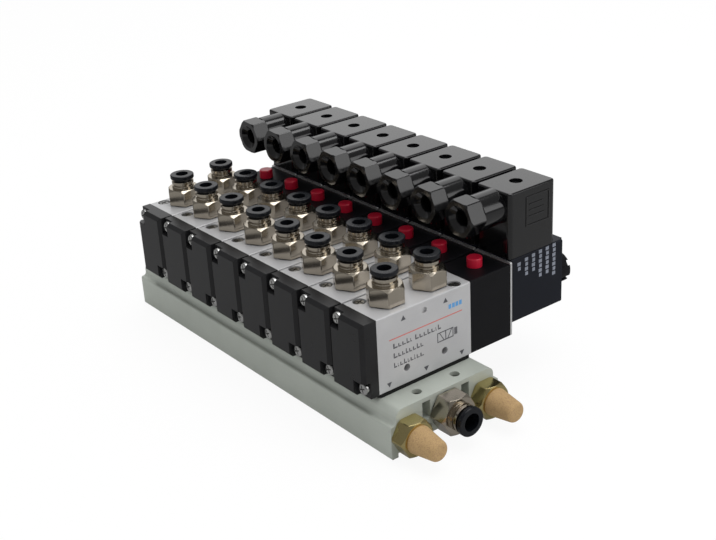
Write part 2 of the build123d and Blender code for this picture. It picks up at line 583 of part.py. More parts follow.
def fitting_body(size):
    """Push-in fitting along Z with its seat at z = 0 and its threaded stub below."""
    hex_top = FITTING_SEAL + size.hex_length
    body = Pos(0, 0, FITTING_SEAL) * hex_prism(size.hex_size, size.hex_length, FITTING_CHAMFER)
    body += rod_z(size.hex_size / 2 - FITTING_SEAL, 0, FITTING_SEAL)
    body += rod_z(size.neck_radius, hex_top, neck_top(size))
    z0 = hex_top + (FITTING_NECK_LENGTH - FITTING_GROOVE_WIDTH) / 2
    z1 = z0 + FITTING_GROOVE_WIDTH
    body -= rod_z(size.neck_radius + 1, z0, z1) - rod_z(size.neck_radius - FITTING_GROOVE, z0, z1)
    body += rod_z(size.stub_radius, -FITTING_STUB_LENGTH, 0)
    body -= rod_z(size.tube_radius + COLLAR_WALL + FIT, collar_foot(size) - COLLAR_TRAVEL - EDGE, neck_top(size))
    body -= rod_z(size.tube_radius, FITTING_FLOOR, neck_top(size))
    return body - rod_z(size.tube_radius - FITTING_FLOOR, -FITTING_STUB_LENGTH, neck_top(size))


def collar_foot(size):
    """Lowest point of the release collar's stem, at rest."""
    return neck_top(size) - COLLAR_STEM


def release_collar(size):
    """Release collar along Z: a flange above the neck and a stem inside it."""
    flange = rod_z(size.collar_radius, neck_top(size) + COLLAR_GAP, mouth(size))
    flange = fillet(flange.edges(), ROD_ROUND)
    collar = flange + rod_z(size.tube_radius + COLLAR_WALL, collar_foot(size), neck_top(size) + COLLAR_GAP)
    return collar - rod_z(size.tube_radius, collar_foot(size), mouth(size))


def outlet(shape, side):
    """Place a fitting piece on an outlet port of one valve."""
    return Pos(side * OUTLET_X, 0, TOP_Z) * shape


def supply(shape):
    """Place a fitting piece on the manifold's supply port, pointing to -Y."""
    return Pos(0, -HALF_MANIFOLD, SUPPLY_Z) * Rot(90, 0, 0) * shape


def silencer_body():
    """Brass hexagon with its threaded stub, along Z, seat at z = 0."""
    body = hex_prism(SILENCER_HEX, SILENCER_HEX_LENGTH, FITTING_CHAMFER, PILOT_CHAMFER)
    body += rod_z(PORT_RADIUS - FIT, -SILENCER_STUB, 0)
    return body - rod_z(SILENCER_CONE_TIP - SILENCER_WALL, -SILENCER_STUB, SILENCER_HEX_LENGTH)


def silencer_element():
    """Sintered cone with a rounded tip and a hollow core."""
    cone = Cone(SILENCER_CONE_BASE, SILENCER_CONE_TIP, SILENCER_CONE_LENGTH)
    cone = fillet(cone.edges().group_by(Axis.Z)[-1], SILENCER_CONE_ROUND)
    cone = Pos(0, 0, SILENCER_HEX_LENGTH + SILENCER_CONE_LENGTH / 2) * cone
    top = SILENCER_HEX_LENGTH + SILENCER_CONE_LENGTH - SILENCER_WALL
    return cone - rod_z(SILENCER_CONE_TIP - SILENCER_WALL, SILENCER_HEX_LENGTH, top)


def exhaust(shape, side):
    """Place a silencer piece on an exhaust port, pointing to -Y."""
    return Pos(side * EXHAUST_X, -HALF_MANIFOLD, EXHAUST_Z) * Rot(90, 0, 0) * shape


# ---- build and write ----------------------------------------------------------------------
def write_fixed():
    """Write every node that stands still."""
    save("manifold_base", [manifold()])
    blank = plug()
    ends = ((0, SUPPLY_Z), (-EXHAUST_X, EXHAUST_Z), (EXHAUST_X, EXHAUST_Z))
    save("manifold_plugs", [Pos(x, HALF_MANIFOLD, z) * blank for x, z in ends])
    singles = {
        "valve_gaskets": gasket(), "valve_bodies": valve_body(), "end_covers": end_cover(),
        "pilot_bodies": pilot_body(), "coil_plates": coil_plate(), "armature_tubes": armature_tube(),
        "coils": coil(), "coil_nuts": coil_nut(), "connector_bases": connector_base(),
        "connector_housings": connector_housing(), "gland_nuts": gland_nut(),
        "connector_screws": connector_screw(),
    }
    for name, shape in singles.items():
        save(name, at_stations(shape))
    save("cover_screws", [s for y, z in cover_screw_places() for s in at_stations(cover_screw(y, z))])
    save("mounting_screws", [s for side in (-1, 1) for s in at_stations(body_screw(side))])
    body = fitting_body(OUTLET_FITTING)
    fittings = [s for side in (-1, 1) for s in at_stations(outlet(body, side))]
    save("fitting_bodies", fittings + [supply(fitting_body(SUPPLY_FITTING))])
    save("silencer_bodies", [exhaust(silencer_body(), side) for side in (-1, 1)])
    save("silencer_elements", [exhaust(silencer_element(), side) for side in (-1, 1)])


def write_moving():
    """Write every node that has a joint, one file a piece."""
    pieces = {"override_button": override_button(), "spool": spool(), "armature": armature()}
    collar = release_collar(OUTLET_FITTING)
    pieces["release_collar_a"] = outlet(collar, -1)
    pieces["release_collar_b"] = outlet(collar, 1)
    for name, shape in pieces.items():
        for number, y in enumerate(STATION_Y, start=1):
            save(f"{name}_{number}", [Pos(0, y, 0) * shape])
    save("release_collar_p", [supply(release_collar(SUPPLY_FITTING))])


os.makedirs("parts", exist_ok=True)
write_fixed()
write_moving()
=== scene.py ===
"""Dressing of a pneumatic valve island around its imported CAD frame."""
import json
import logging
import math
from dataclasses import dataclass, field
from enum import Enum
from typing import Iterable, Union

import bmesh
import bpy
from mathutils import Matrix, Vector

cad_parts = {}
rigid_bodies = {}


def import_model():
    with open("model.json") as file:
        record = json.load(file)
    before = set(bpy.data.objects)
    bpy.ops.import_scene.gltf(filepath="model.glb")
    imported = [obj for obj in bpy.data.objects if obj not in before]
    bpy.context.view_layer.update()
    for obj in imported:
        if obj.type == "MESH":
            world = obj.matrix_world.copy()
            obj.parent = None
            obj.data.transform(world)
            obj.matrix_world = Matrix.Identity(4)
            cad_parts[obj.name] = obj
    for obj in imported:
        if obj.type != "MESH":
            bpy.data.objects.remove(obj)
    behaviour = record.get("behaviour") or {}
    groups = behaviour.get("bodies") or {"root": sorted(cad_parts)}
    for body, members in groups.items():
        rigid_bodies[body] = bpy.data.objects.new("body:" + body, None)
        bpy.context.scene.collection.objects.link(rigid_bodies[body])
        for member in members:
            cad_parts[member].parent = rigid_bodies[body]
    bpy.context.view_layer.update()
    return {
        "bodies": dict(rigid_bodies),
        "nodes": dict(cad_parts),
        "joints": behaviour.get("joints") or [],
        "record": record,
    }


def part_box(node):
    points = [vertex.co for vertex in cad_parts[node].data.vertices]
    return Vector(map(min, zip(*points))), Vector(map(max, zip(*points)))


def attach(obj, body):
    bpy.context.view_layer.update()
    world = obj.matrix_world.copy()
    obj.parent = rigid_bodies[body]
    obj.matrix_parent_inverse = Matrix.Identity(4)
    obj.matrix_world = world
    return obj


LOG = logging.getLogger("valve_island")
MM = 0.001
STATIONS = 8
ROOT = "island"
WHITE = (1.0, 1.0, 1.0, 1.0)
COLOUR_INPUTS = (6, 7)          # colour sockets of a Mix node
COLOUR_OUTPUT = 2
MID = 0.5                       # middle of a noise's range
Colour = tuple[float, float, float]
Point = tuple[float, float]
Number = Union[float, "Field"]


# ---- shader graph ---------------------------------------------------------------------------
class Field:
    """A scalar socket that takes part in Python expressions."""

    def __init__(self, graph: "Graph", socket: bpy.types.NodeSocket) -> None:
        """Wrap one output socket of a graph."""
        self.graph = graph
        self.socket = socket

    def _maths(self, operation: str, first: Number, second: Number) -> "Field":
        """Add one Math node.

        Args:
            operation: the node's operation.
            first: left value.
            second: right value.

        Returns:
            The node's result.
        """
        node = self.graph.add("ShaderNodeMath", {"operation": operation}, {0: first, 1: second})
        return Field(self.graph, node.outputs[0])

    def __add__(self, other: Number) -> "Field":
        """Sum."""
        return self._maths("ADD", self, other)

    __radd__ = __add__

    def __sub__(self, other: Number) -> "Field":
        """Difference."""
        return self._maths("SUBTRACT", self, other)

    def __rsub__(self, other: Number) -> "Field":
        """Difference with the value on the left."""
        return self._maths("SUBTRACT", other, self)

    def __mul__(self, other: Number) -> "Field":
        """Product."""
        return self._maths("MULTIPLY", self, other)

    __rmul__ = __mul__

    def clipped(self) -> "Field":
        """Limit to the range 0 to 1."""
        return self._maths("MINIMUM", self._maths("MAXIMUM", self, 0.0), 1.0)


class Graph:
    """The node tree of one material."""

    def __init__(self, name: str) -> None:
        """Start an empty material with an output node."""
        self.material = bpy.data.materials.new(name)
        self.material.use_nodes = True
        self.tree = self.material.node_tree
        self.tree.nodes.clear()
        self.output = self.add("ShaderNodeOutputMaterial")
        self.place = self.add("ShaderNodeTexCoord").outputs["Object"]

    def add(self, kind: str, settings: dict | None = None, inputs: dict | None = None) -> bpy.types.Node:
        """Add one node.

        Args:
            kind: the node's type.
            settings: attributes, set first; "stops" fills a colour ramp.
            inputs: socket name or index to a value, a socket or a Field.

        Returns:
            The new node.
        """
        node = self.tree.nodes.new(kind)
        for key, value in (settings or {}).items():
            if key == "stops":
                self._fill_ramp(node, value)
            else:
                setattr(node, key, value)
        for key, value in (inputs or {}).items():
            source = value.socket if isinstance(value, Field) else value
            if isinstance(source, bpy.types.NodeSocket):
                self.tree.links.new(source, node.inputs[key])
            else:
                node.inputs[key].default_value = source
        return node

    @staticmethod
    def _fill_ramp(node: bpy.types.Node, stops: Iterable[tuple[float, float]]) -> None:
        """Set a ramp's grey stops as (position, value) pairs."""
        ramp = node.color_ramp
        for index, (position, value) in enumerate(stops):
            element = ramp.elements[index] if index < 2 else ramp.elements.new(position)
            element.position = position
            element.color = (value, value, value, 1.0)

    def stretched(self, scale: tuple[float, float, float]) -> bpy.types.NodeSocket:
        """Object coordinates scaled by axis."""
        node = self.add("ShaderNodeMapping", {}, {"Vector": self.place, "Scale": scale})
        return node.outputs["Vector"]

    def noise(self, grain_mm: float, detail: float = 3.0,
              stretch: tuple[float, float, float] = (1.0, 1.0, 1.0)) -> Field:
        """Noise between 0 and 1.

        Args:
            grain_mm: size of one grain.
            detail: octaves.
            stretch: scale by axis.

        Returns:
            The noise's value.
        """
        inputs = {"Vector": self.stretched(stretch), "Scale": 1.0 / (grain_mm * MM), "Detail": detail}
        return Field(self, self.add("ShaderNodeTexNoise", {}, inputs).outputs[0])

    def cells(self, grain_mm: float) -> Field:
        """Distance to the nearest of scattered grains, about 0 to 1."""
        inputs = {"Vector": self.place, "Scale": 1.0 / (grain_mm * MM)}
        return Field(self, self.add("ShaderNodeTexVoronoi", {}, inputs).outputs["Distance"])

    def ramp(self, value: Field, stops: Iterable[tuple[float, float]]) -> Field:
        """Reshape a value by a grey ramp."""
        node = self.add("ShaderNodeValToRGB", {"stops": stops}, {"Fac": value})
        return Field(self, node.outputs["Color"])

    def mix(self, factor: Number, first: Colour,
            second: Colour | bpy.types.NodeSocket) -> bpy.types.NodeSocket:
        """Blend two colours by a factor.

        Args:
            factor: share of the second colour.
            first: plain colour at 0.
            second: plain colour or colour socket at 1.

        Returns:
            The blended colour's socket.
        """
        low, high = COLOUR_INPUTS
        inputs = {"Factor": factor, low: self._opaque(first), high: self._opaque(second)}
        return self.add("ShaderNodeMix", {"data_type": "RGBA"}, inputs).outputs[COLOUR_OUTPUT]

    @staticmethod
    def _opaque(colour: Colour | bpy.types.NodeSocket) -> tuple | bpy.types.NodeSocket:
        """Give a plain colour its alpha, and leave a socket as it is."""
        return colour if isinstance(colour, bpy.types.NodeSocket) else (*colour, 1.0)

    def bump(self, height: Field, depth_mm: float, strength: float, edge_mm: float) -> bpy.types.NodeSocket:
        """Bump over softly rounded edges.

        Args:
            height: height map.
            depth_mm: height of a full step.
            strength: strength of the bump.
            edge_mm: radius to which sharp edges are softened, or 0.

        Returns:
            The normal.
        """
        inputs = {"Height": height, "Distance": depth_mm * MM, "Strength": strength}
        if edge_mm:
            edge = self.add("ShaderNodeBevel", {"samples": 4}, {"Radius": edge_mm * MM})
            inputs["Normal"] = edge.outputs["Normal"]
        return self.add("ShaderNodeBump", {}, inputs).outputs["Normal"]

    def surface(self, **sockets: object) -> bpy.types.Material:
        """Close the graph with a Principled shader.

        Args:
            sockets: socket names, with underscores for spaces.

        Returns:
            The finished material.
        """
        inputs = {name.replace("_", " "): value for name, value in sockets.items()}
        shader = self.add("ShaderNodeBsdfPrincipled", {}, inputs)
        self.tree.links.new(shader.outputs[0], self.output.inputs["Surface"])
        return self.material


class Grain(Enum):
    """How the fine structure of a surface lies."""

    EVEN = (1.0, 1.0, 1.0)
    ALONG_Y = (1.0, 0.04, 1.0)
    ROUND_Z = (0.3, 0.3, 3.0)


@dataclass(frozen=True)
class Finish:
    """One finish: two close colours, a roughness range and a fine relief."""

    name: str
    colour: Colour
    shade: Colour
    roughness: float
    spread: float = 0.08
    metallic: float = 0.0
    coat: float = 0.0
    grain_mm: float = 0.5
    cloud_mm: float = 14.0
    relief_mm: float = 0.02
    strength: float = 0.3
    edge_mm: float = 0.25
    specular: float = 0.5
    grain: Grain = Grain.EVEN
    octaves: float = 4.0
    coat_roughness: float = 0.06
    cloud_share: float = 0.6
    tone_stops: tuple[Point, Point] = ((0.3, 0.0), (0.7, 1.0))

    def material(self) -> bpy.types.Material:
        """Build the material.

        Returns:
            The finish as a procedural material.
        """
        graph = Graph(self.name)
        fine = graph.noise(self.grain_mm, self.octaves, self.grain.value)
        cloud = graph.noise(self.cloud_mm)
        tone = graph.ramp(cloud * self.cloud_share + fine * (1.0 - self.cloud_share), self.tone_stops)
        rough = self.roughness + (cloud - MID) * self.spread + (fine - MID) * self.spread
        return graph.surface(
            Base_Color=graph.mix(tone, self.shade, self.colour), Roughness=rough.clipped(),
            Metallic=self.metallic, Coat_Weight=self.coat, Coat_Roughness=self.coat_roughness,
            Specular_IOR_Level=self.specular,
            Normal=graph.bump(fine, self.relief_mm, self.strength, self.edge_mm))


@dataclass(frozen=True)
class SinteredFinish(Finish):
    """Fused grains of bronze: pale rounded grains, with painted shade darkening the pits between them."""

    # painted shade: a darker bronze laid into the hollows between the grains
    pit_shade: Colour = (0.33, 0.20, 0.105)
    pit_stops: tuple[Point, Point] = ((0.40, 1.0), (0.95, 0.0))
    fine_relief: float = 0.4

    def material(self) -> bpy.types.Material:
        """Build the grainy material."""
        graph = Graph(self.name)
        grains = graph.cells(self.grain_mm)
        fine = graph.noise(self.grain_mm / 2, self.octaves)
        cloud = graph.noise(self.cloud_mm)
        # the pit mask both sinks the bump and lays the painted pit shade over the base colour
        pits = graph.ramp(grains + (fine - MID) * 0.5, self.pit_stops)
        base = graph.mix(cloud, self.shade, self.colour)
        rough = self.roughness + (fine - MID) * self.spread
        return graph.surface(
            Base_Color=graph.mix(pits, self.pit_shade, base), Roughness=rough.clipped(), Metallic=self.metallic,
            Normal=graph.bump(pits + fine * self.fine_relief, self.relief_mm, self.strength, 0.0))


MANIFOLD_COAT = Finish("manifold_coat", (0.46, 0.49, 0.445), (0.405, 0.435, 0.39), 0.42, metallic=0.15,
                       grain_mm=0.35, relief_mm=0.012, edge_mm=0.3, grain=Grain.ALONG_Y)
BLASTED_SILVER = Finish("blasted_silver", (0.54, 0.54, 0.545), (0.475, 0.475, 0.485), 0.40, metallic=0.30,
                        grain_mm=0.22, relief_mm=0.015, strength=0.35, edge_mm=0.25)
COVER_BLACK = Finish("cover_black", (0.013, 0.013, 0.014), (0.009, 0.009, 0.010), 0.30, grain_mm=0.3,
                     relief_mm=0.012, edge_mm=0.35, specular=0.35)
PILOT_BLACK = Finish("pilot_black", (0.006, 0.006, 0.008), (0.004, 0.004, 0.005), 0.45, grain_mm=0.4,
                     specular=0.15)
COIL_BLACK = Finish("coil_black", (0.007, 0.009, 0.015), (0.005, 0.006, 0.011), 0.42, grain_mm=0.3,
                    specular=0.18)
CONNECTOR_BLACK = Finish("connector_black", (0.0035, 0.0035, 0.004), (0.0025, 0.0025, 0.003), 0.13,
                         spread=0.04, coat=0.3, grain_mm=2.4, relief_mm=0.006, strength=0.15, edge_mm=0.35)
NICKEL = Finish("nickel_plate", (0.54, 0.49, 0.41), (0.44, 0.39, 0.32), 0.17, spread=0.10, metallic=1.0,
                grain_mm=0.3, relief_mm=0.006, strength=0.25, edge_mm=0.22, grain=Grain.ROUND_Z)
COLLAR_BLACK = Finish("collar_black", (0.006, 0.007, 0.010), (0.004, 0.005, 0.007), 0.26, grain_mm=0.4,
                      specular=0.3)
BUTTON_RED = Finish("button_red", (0.60, 0.010, 0.040), (0.48, 0.005, 0.028), 0.34, grain_mm=0.5, coat=0.2)
OLIVE_BRASS = Finish("olive_brass", (0.60, 0.50, 0.24), (0.46, 0.375, 0.16), 0.20, spread=0.12,
                     metallic=1.0, grain_mm=0.5, relief_mm=0.010, edge_mm=0.3)
ZINC = Finish("zinc_plate", (0.66, 0.66, 0.64), (0.46, 0.46, 0.46), 0.22, spread=0.15, metallic=1.0,
              grain_mm=0.3)
# Painted shade: a darker copy of the zinc, for the mounting screws that sit sunk in their holes.
SHADED_ZINC = Finish("shaded_zinc", (0.34, 0.34, 0.33), (0.17, 0.17, 0.17), 0.30, spread=0.2, metallic=1.0,
                   grain_mm=0.4)
DARK_ZINC = Finish("dark_zinc", (0.20, 0.20, 0.21), (0.12, 0.12, 0.13), 0.30, metallic=1.0)
SHEET_STEEL = Finish("sheet_steel", (0.80, 0.80, 0.80), (0.66, 0.66, 0.67), 0.30, metallic=0.8,
                     edge_mm=0.15)
SEAL_RUBBER = Finish("seal_rubber", (0.010, 0.010, 0.010), (0.006, 0.006, 0.006), 0.62, grain_mm=0.3,
                     specular=0.2)
PRINT_GREY = Finish("print_grey", (0.085, 0.085, 0.095), (0.06, 0.06, 0.07), 0.5, edge_mm=0.0)
PRINT_RED = Finish("print_red", (0.62, 0.16, 0.13), (0.52, 0.12, 0.10), 0.5, edge_mm=0.0)
PRINT_BLUE = Finish("print_blue", (0.10, 0.32, 0.62), (0.08, 0.26, 0.54), 0.5, edge_mm=0.0)
RATING_GREY = Finish("rating_grey", (0.22, 0.24, 0.29), (0.15, 0.165, 0.20), 0.5, edge_mm=0.0)
BRONZE_SINTER = SinteredFinish("bronze_sinter", (0.53, 0.36, 0.17), (0.42, 0.28, 0.125), 0.80,
                               metallic=0.15, grain_mm=0.42, cloud_mm=4.0, relief_mm=0.07, strength=0.5)

NODE_FINISHES: dict[str, Finish] = {
    "manifold_base": MANIFOLD_COAT, "manifold_plugs": ZINC, "valve_gaskets": SEAL_RUBBER,
    "valve_bodies": BLASTED_SILVER, "end_covers": COVER_BLACK, "pilot_bodies": PILOT_BLACK,
    "coil_plates": SHEET_STEEL, "armature_tubes": SHEET_STEEL, "coils": COIL_BLACK, "coil_nuts": PILOT_BLACK,
    "connector_bases": PILOT_BLACK, "connector_housings": CONNECTOR_BLACK, "gland_nuts": CONNECTOR_BLACK,
    # the mounting screws take the zinc darkened by painted shade
    "cover_screws": ZINC, "mounting_screws": SHADED_ZINC, "connector_screws": DARK_ZINC,
    "fitting_bodies": NICKEL,
    "silencer_bodies": OLIVE_BRASS, "silencer_elements": BRONZE_SINTER,
}
MOVING_FINISHES: dict[str, Finish] = {
    "override_button": BUTTON_RED, "spool": SHEET_STEEL, "armature": SHEET_STEEL,
    "release_collar": COLLAR_BLACK,
}


class Palette:
    """Materials made once and shared."""

    def __init__(self) -> None:
        """Start empty."""
        self.made: dict[str, bpy.types.Material] = {}

    def get(self, finish: Finish) -> bpy.types.Material:
        """Look up a material.

        Args:
            finish: the finish it shows.

        Returns:
            Its material, made on first use.
        """
        if finish.name not in self.made:
            self.made[finish.name] = finish.material()
        return self.made[finish.name]


# ---- mesh building ---------------------------------------------------------------------------
class Shell:
    """A mesh under construction, in metres."""

    def __init__(self) -> None:
        """Start an empty mesh."""
        self.bm = bmesh.new()

    def _corner(self, to_world: Matrix, x: float, y: float, z: float) -> bmesh.types.BMVert:
        """Add one vertex.

        Args:
            to_world: the frame.
            x: place in the frame, in mm.
            y: place in the frame, in mm.
            z: place in the frame, in mm.

        Returns:
            The new vertex.
        """
        return self.bm.verts.new(to_world @ Vector((x * MM, y * MM, z * MM)))

    def plate(self, outline: list[Point], to_world: Matrix, thickness: float, soften: float = 0.0) -> None:
        """Add a thin plate.

        Args:
            outline: corners in the plate's own plane, in mm, counter-clockwise.
            to_world: the plane's frame; the plate rises along its +Z.
            thickness: in mm.
            soften: width of the bevel round its upper rim, in mm.
        """
        low = [self._corner(to_world, x, y, 0.0) for x, y in outline]
        rims = [low]
        if soften:
            rims.append([self._corner(to_world, x, y, thickness - soften) for x, y in outline])
        centre = Vector((sum(p[0] for p in outline), sum(p[1] for p in outline))) / len(outline)
        tops = []
        for x, y in outline:
            inward = (centre - Vector((x, y))).normalized() * soften
            tops.append(self._corner(to_world, x + inward.x, y + inward.y, thickness))
        rims.append(tops)
        self.bm.faces.new(list(reversed(low)))
        self.bm.faces.new(tops)
        for lower, upper in zip(rims, rims[1:]):
            for index in range(len(outline)):
                after = (index + 1) % len(outline)
                self.bm.faces.new((lower[index], lower[after], upper[after], upper[index]))

    def lathe(self, profile: list[Point], to_world: Matrix, sides: int = 48) -> None:
        """Add a closed ring turned about the frame's Z axis.

        Args:
            profile: closed section as (radius, height) in mm.
            to_world: the axis frame.
            sides: steps round the axis.
        """
        rings = []
        for step in range(sides):
            turn = 2 * math.pi * step / sides
            rings.append([self._corner(to_world, radius * math.cos(turn), radius * math.sin(turn), z)
                          for radius, z in profile])
        for step in range(sides):
            here, there = rings[step], rings[(step + 1) % sides]
            for index in range(len(profile)):
                after = (index + 1) % len(profile)
                self.bm.faces.new((here[index], there[index], there[after], here[after]))

    def finish(self, name: str, material: bpy.types.Material, smooth: bool = False) -> bpy.types.Object:
        """Turn the mesh into an object.

        Args:
            name: the piece's name.
            material: its finish.
            smooth: whether its faces are shaded smooth.

        Returns:
            The new object.
        """
        bmesh.ops.recalc_face_normals(self.bm, faces=self.bm.faces)
        mesh = bpy.data.meshes.new(name)
        self.bm.to_mesh(mesh)
        self.bm.free()
        mesh.materials.append(material)
        mesh.polygons.foreach_set("use_smooth", [smooth] * len(mesh.polygons))
        piece = bpy.data.objects.new(name, mesh)
        bpy.context.scene.collection.objects.link(piece)
        return piece


def side_frame(x: float, y: float, z: float) -> Matrix:
    """Frame on a face that looks to -Y: its X runs to +X, its Y to +Z, its Z outward.

    Args:
        x: origin of the frame, in metres.
        y: the face's place, in metres.
        z: height of the origin, in metres.

    Returns:
        The frame's matrix.
    """
    turn = Matrix(((1, 0, 0), (0, 0, -1), (0, 1, 0))).to_4x4()
    return Matrix.Translation((x, y, z)) @ turn


def rectangle(x0: float, x1: float, y0: float, y1: float) -> list[Point]:
    """Corners of a rectangle.

    Args:
        x0: left side, in mm.
        x1: right side.
        y0: lower side.
        y1: upper side.

    Returns:
        Its corners, counter-clockwise.
    """
    return [(x0, y0), (x1, y0), (x1, y1), (x0, y1)]


def circle_section(radius: float, height: float, thick: float, steps: int = 10) -> list[Point]:
    """Round section of a ring.

    Args:
        radius: from the ring's axis to the middle of the section, in mm.
        height: of that middle.
        thick: radius of the section.
        steps: corners of the section.

    Returns:
        The section as (radius, height) points.
    """
    turns = [2 * math.pi * step / steps for step in range(steps)]
    return [(radius + thick * math.cos(turn), height + thick * math.sin(turn)) for turn in turns]


# ---- sub-assemblies ----------------------------------------------------------------------------
@dataclass
class Island:
    """Places read from the frame: station middles and the faces that details sit on."""

    station_y: list[float] = field(default_factory=list)

    def __post_init__(self) -> None:
        """Read each station's middle from its spool."""
        for number in range(1, STATIONS + 1):
            low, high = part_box(f"spool_{number}")
            self.station_y.append((low.y + high.y) / 2)

    def half_width(self, node: str) -> float:
        """Half the width of one copy in a node that repeats at each station.

        Args:
            node: the node's name.

        Returns:
            The half width in metres.
        """
        return self.station_y[0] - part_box(node)[0].y


@dataclass
class CadDress:
    """Finishes of the carried-over CAD nodes."""

    palette: Palette

    def dress(self, nodes: dict[str, bpy.types.Object]) -> None:
        """Give every node its finish.

        Args:
            nodes: the frame's nodes.
        """
        for name, obj in nodes.items():
            finish = self._finish_of(name)
            obj.data.materials.clear()
            obj.data.materials.append(self.palette.get(finish))
            LOG.info("dressed %s with %s", name, finish.name)

    @staticmethod
    def _finish_of(name: str) -> Finish:
        """Finish of a node by its own name or its family's."""
        if name in NODE_FINISHES:
            return NODE_FINISHES[name]
        return next(finish for family, finish in MOVING_FINISHES.items() if name.startswith(family))


@dataclass
class ValvePrint:
    """Generic print on the side of each valve: a line, text bars, a symbol and port marks."""

    island: Island
    palette: Palette
    thickness: float = 0.06
    line_height: float = 23.2
    line_ends: Point = (-19.6, 21.0)
    word_rows: tuple[tuple[float, float, tuple[float, ...]], ...] = (
        (18.9, -17.6, (2.2, 1.6, 1.8, 1.5, 0.8, 0.0, 1.8, 1.8, 1.6, 1.6, 1.8, 0.6, 1.6)),
        (14.4, -17.6, (2.0, 1.5, 1.5, 1.3, 1.5, 1.6, 1.5, 1.5)),
        (9.9, -17.6, (1.5, 0.6, 1.5, 1.5, 1.0, 1.5, 0.6, 1.5, 1.9)),
    )
    row_height: float = 2.3
    low_row_share: float = 0.72
    foot_share: float = 0.24
    stem_share: float = 0.3
    blank_width: float = 0.8
    letter_gap: float = 0.55
    blue_row: tuple[float, float, float, float] = (13.4, 26.4, 1.5, 2.1)
    blue_pitch: float = 2.0
    blue_count: int = 4
    marks: tuple[tuple[float, float, int], ...] = (
        (-11.7, 31.2, 1), (11.7, 31.2, 1), (-20.5, 3.0, -1), (0.0, 3.0, -1), (20.5, 3.0, -1),
    )
    mark_size: float = 1.3
    square: float = 4.6
    slants: Point = (0.75, 0.25)
    spring_offsets: tuple[float, ...] = (0.6, 1.2, 1.8)
    spring_inset: float = 0.6
    symbol_at: Point = (6.6, 12.6)
    symbol_line: float = 0.42
    line_width: float = 0.45

    def _frame(self, y: float) -> Matrix:
        """Frame on one valve's side, at the middle of its lower edge."""
        low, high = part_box("valve_bodies")
        return side_frame((low.x + high.x) / 2, y - self.island.half_width("valve_bodies"), low.z)

    def _words(self, shell: Shell, frame: Matrix) -> None:
        """Rows of short bars in place of text."""
        for height, start, widths in self.word_rows:
            x = start
            for index, width in enumerate(widths):
                rise = self.row_height * (self.low_row_share if index % 3 else 1.0)
                foot = height + rise * self.foot_share
                stem = height + rise * self.stem_share
                if width:
                    shell.plate(rectangle(x, x + width, height, foot), frame, self.thickness)
                    shell.plate(rectangle(x, x + width * self.stem_share, stem, height + rise), frame,
                                self.thickness)
                x += max(width, self.blank_width) + self.letter_gap

    def _symbol(self, shell: Shell, frame: Matrix) -> None:
        """Two joined squares with crossing lines: a plain two-position valve sign."""
        x0, y0 = self.symbol_at
        w = self.symbol_line
        roof = y0 + self.square
        for column, slant in enumerate(self.slants):
            x = x0 + column * self.square
            shell.plate(rectangle(x, x + self.square, y0, y0 + w), frame, self.thickness)
            shell.plate(rectangle(x, x + self.square, roof - w, roof), frame, self.thickness)
            shell.plate(rectangle(x, x + w, y0 + w, y0 + self.square - w), frame, self.thickness)
            foot = x + self.square * slant
            head = x + self.square * (1 - slant)
            shell.plate([(foot, y0 + w), (foot + w, y0 + w), (head + w, y0 + self.square - w),
                         (head, y0 + self.square - w)], frame, self.thickness)
        end = x0 + 2 * self.square
        shell.plate(rectangle(end - w, end, y0 + w, y0 + self.square - w), frame, self.thickness)
        for offset in self.spring_offsets:
            x = end + offset
            turn = rectangle(x, x + w, y0 + self.spring_inset, roof - self.spring_inset)
            shell.plate(turn, frame, self.thickness)

    def _port_marks(self, shell: Shell, frame: Matrix) -> None:
        """Small triangles by the ports: pointing up at the outlets, down at the others."""
        for x, z, way in self.marks:
            shell.plate(self._triangle(x, z, way), frame, self.thickness)

    def _triangle(self, x: float, z: float, way: int) -> list[Point]:
        """Small triangle about a point.

        Args:
            x: its middle, in mm.
            z: its middle.
            way: 1 to point up, -1 to point down.

        Returns:
            Its corners, counter-clockwise for either way.
        """
        size = self.mark_size
        foot = z - way * size * 0.8
        corners = [(x - size, foot), (x + size, foot), (x, z + way * size * 0.9)]
        return corners if way > 0 else list(reversed(corners))

    def build(self) -> None:
        """Make the print of all valves as three pieces."""
        grey, red, blue = Shell(), Shell(), Shell()
        for y in self.island.station_y:
            frame = self._frame(y)
            self._words(grey, frame)
            self._symbol(grey, frame)
            self._port_marks(grey, frame)
            line = rectangle(*self.line_ends, self.line_height, self.line_height + self.line_width)
            red.plate(line, frame, self.thickness)
            start, foot, width, height = self.blue_row
            for step in range(self.blue_count):
                x = start + step * self.blue_pitch
                blue.plate(rectangle(x, x + width, foot, foot + height), frame, self.thickness)
        pieces = {"valve_print_grey": (grey, PRINT_GREY), "valve_print_line": (red, PRINT_RED),
                  "valve_print_blue": (blue, PRINT_BLUE)}
        for name, (shell, finish) in pieces.items():
            piece = shell.finish(name, self.palette.get(finish))
            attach(piece, ROOT)
            LOG.info("built %s", name)


@dataclass
class CoilPrint:
    """Plain bars in columns on the side of each coil, where a rating would be."""

    island: Island
    palette: Palette
    thickness: float = 0.06
    columns: tuple[tuple[float, float, float], ...] = (
        (3.6, 28.6, 6.0), (8.2, 29.6, 11.0), (12.6, 30.2, 9.4), (17.0, 30.6, 16.0), (21.4, 30.8, 14.0),
        (25.8, 31.0, 17.0),
    )
    bar_width: float = 2.0
    dash: float = 1.7
    gap: float = 0.6
    indent: float = 0.3

    def build(self) -> None:
        """Make all bars as one piece."""
        low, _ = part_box("coils")
        shell = Shell()
        for y in self.island.station_y:
            frame = side_frame(low.x, y - self.island.half_width("coils"), low.z)
            for x, top, length in self.columns:
                count = int(length / (self.dash + self.gap))
                for step in range(count):
                    high = top - step * (self.dash + self.gap)
                    lean = self.indent if step % 2 else 0.0
                    shell.plate(rectangle(x + lean, x + self.bar_width, high - self.dash, high), frame,
                                self.thickness)
        piece = shell.finish("coil_rating_bars", self.palette.get(RATING_GREY))
        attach(piece, ROOT)
        LOG.info("built %s", piece.name)


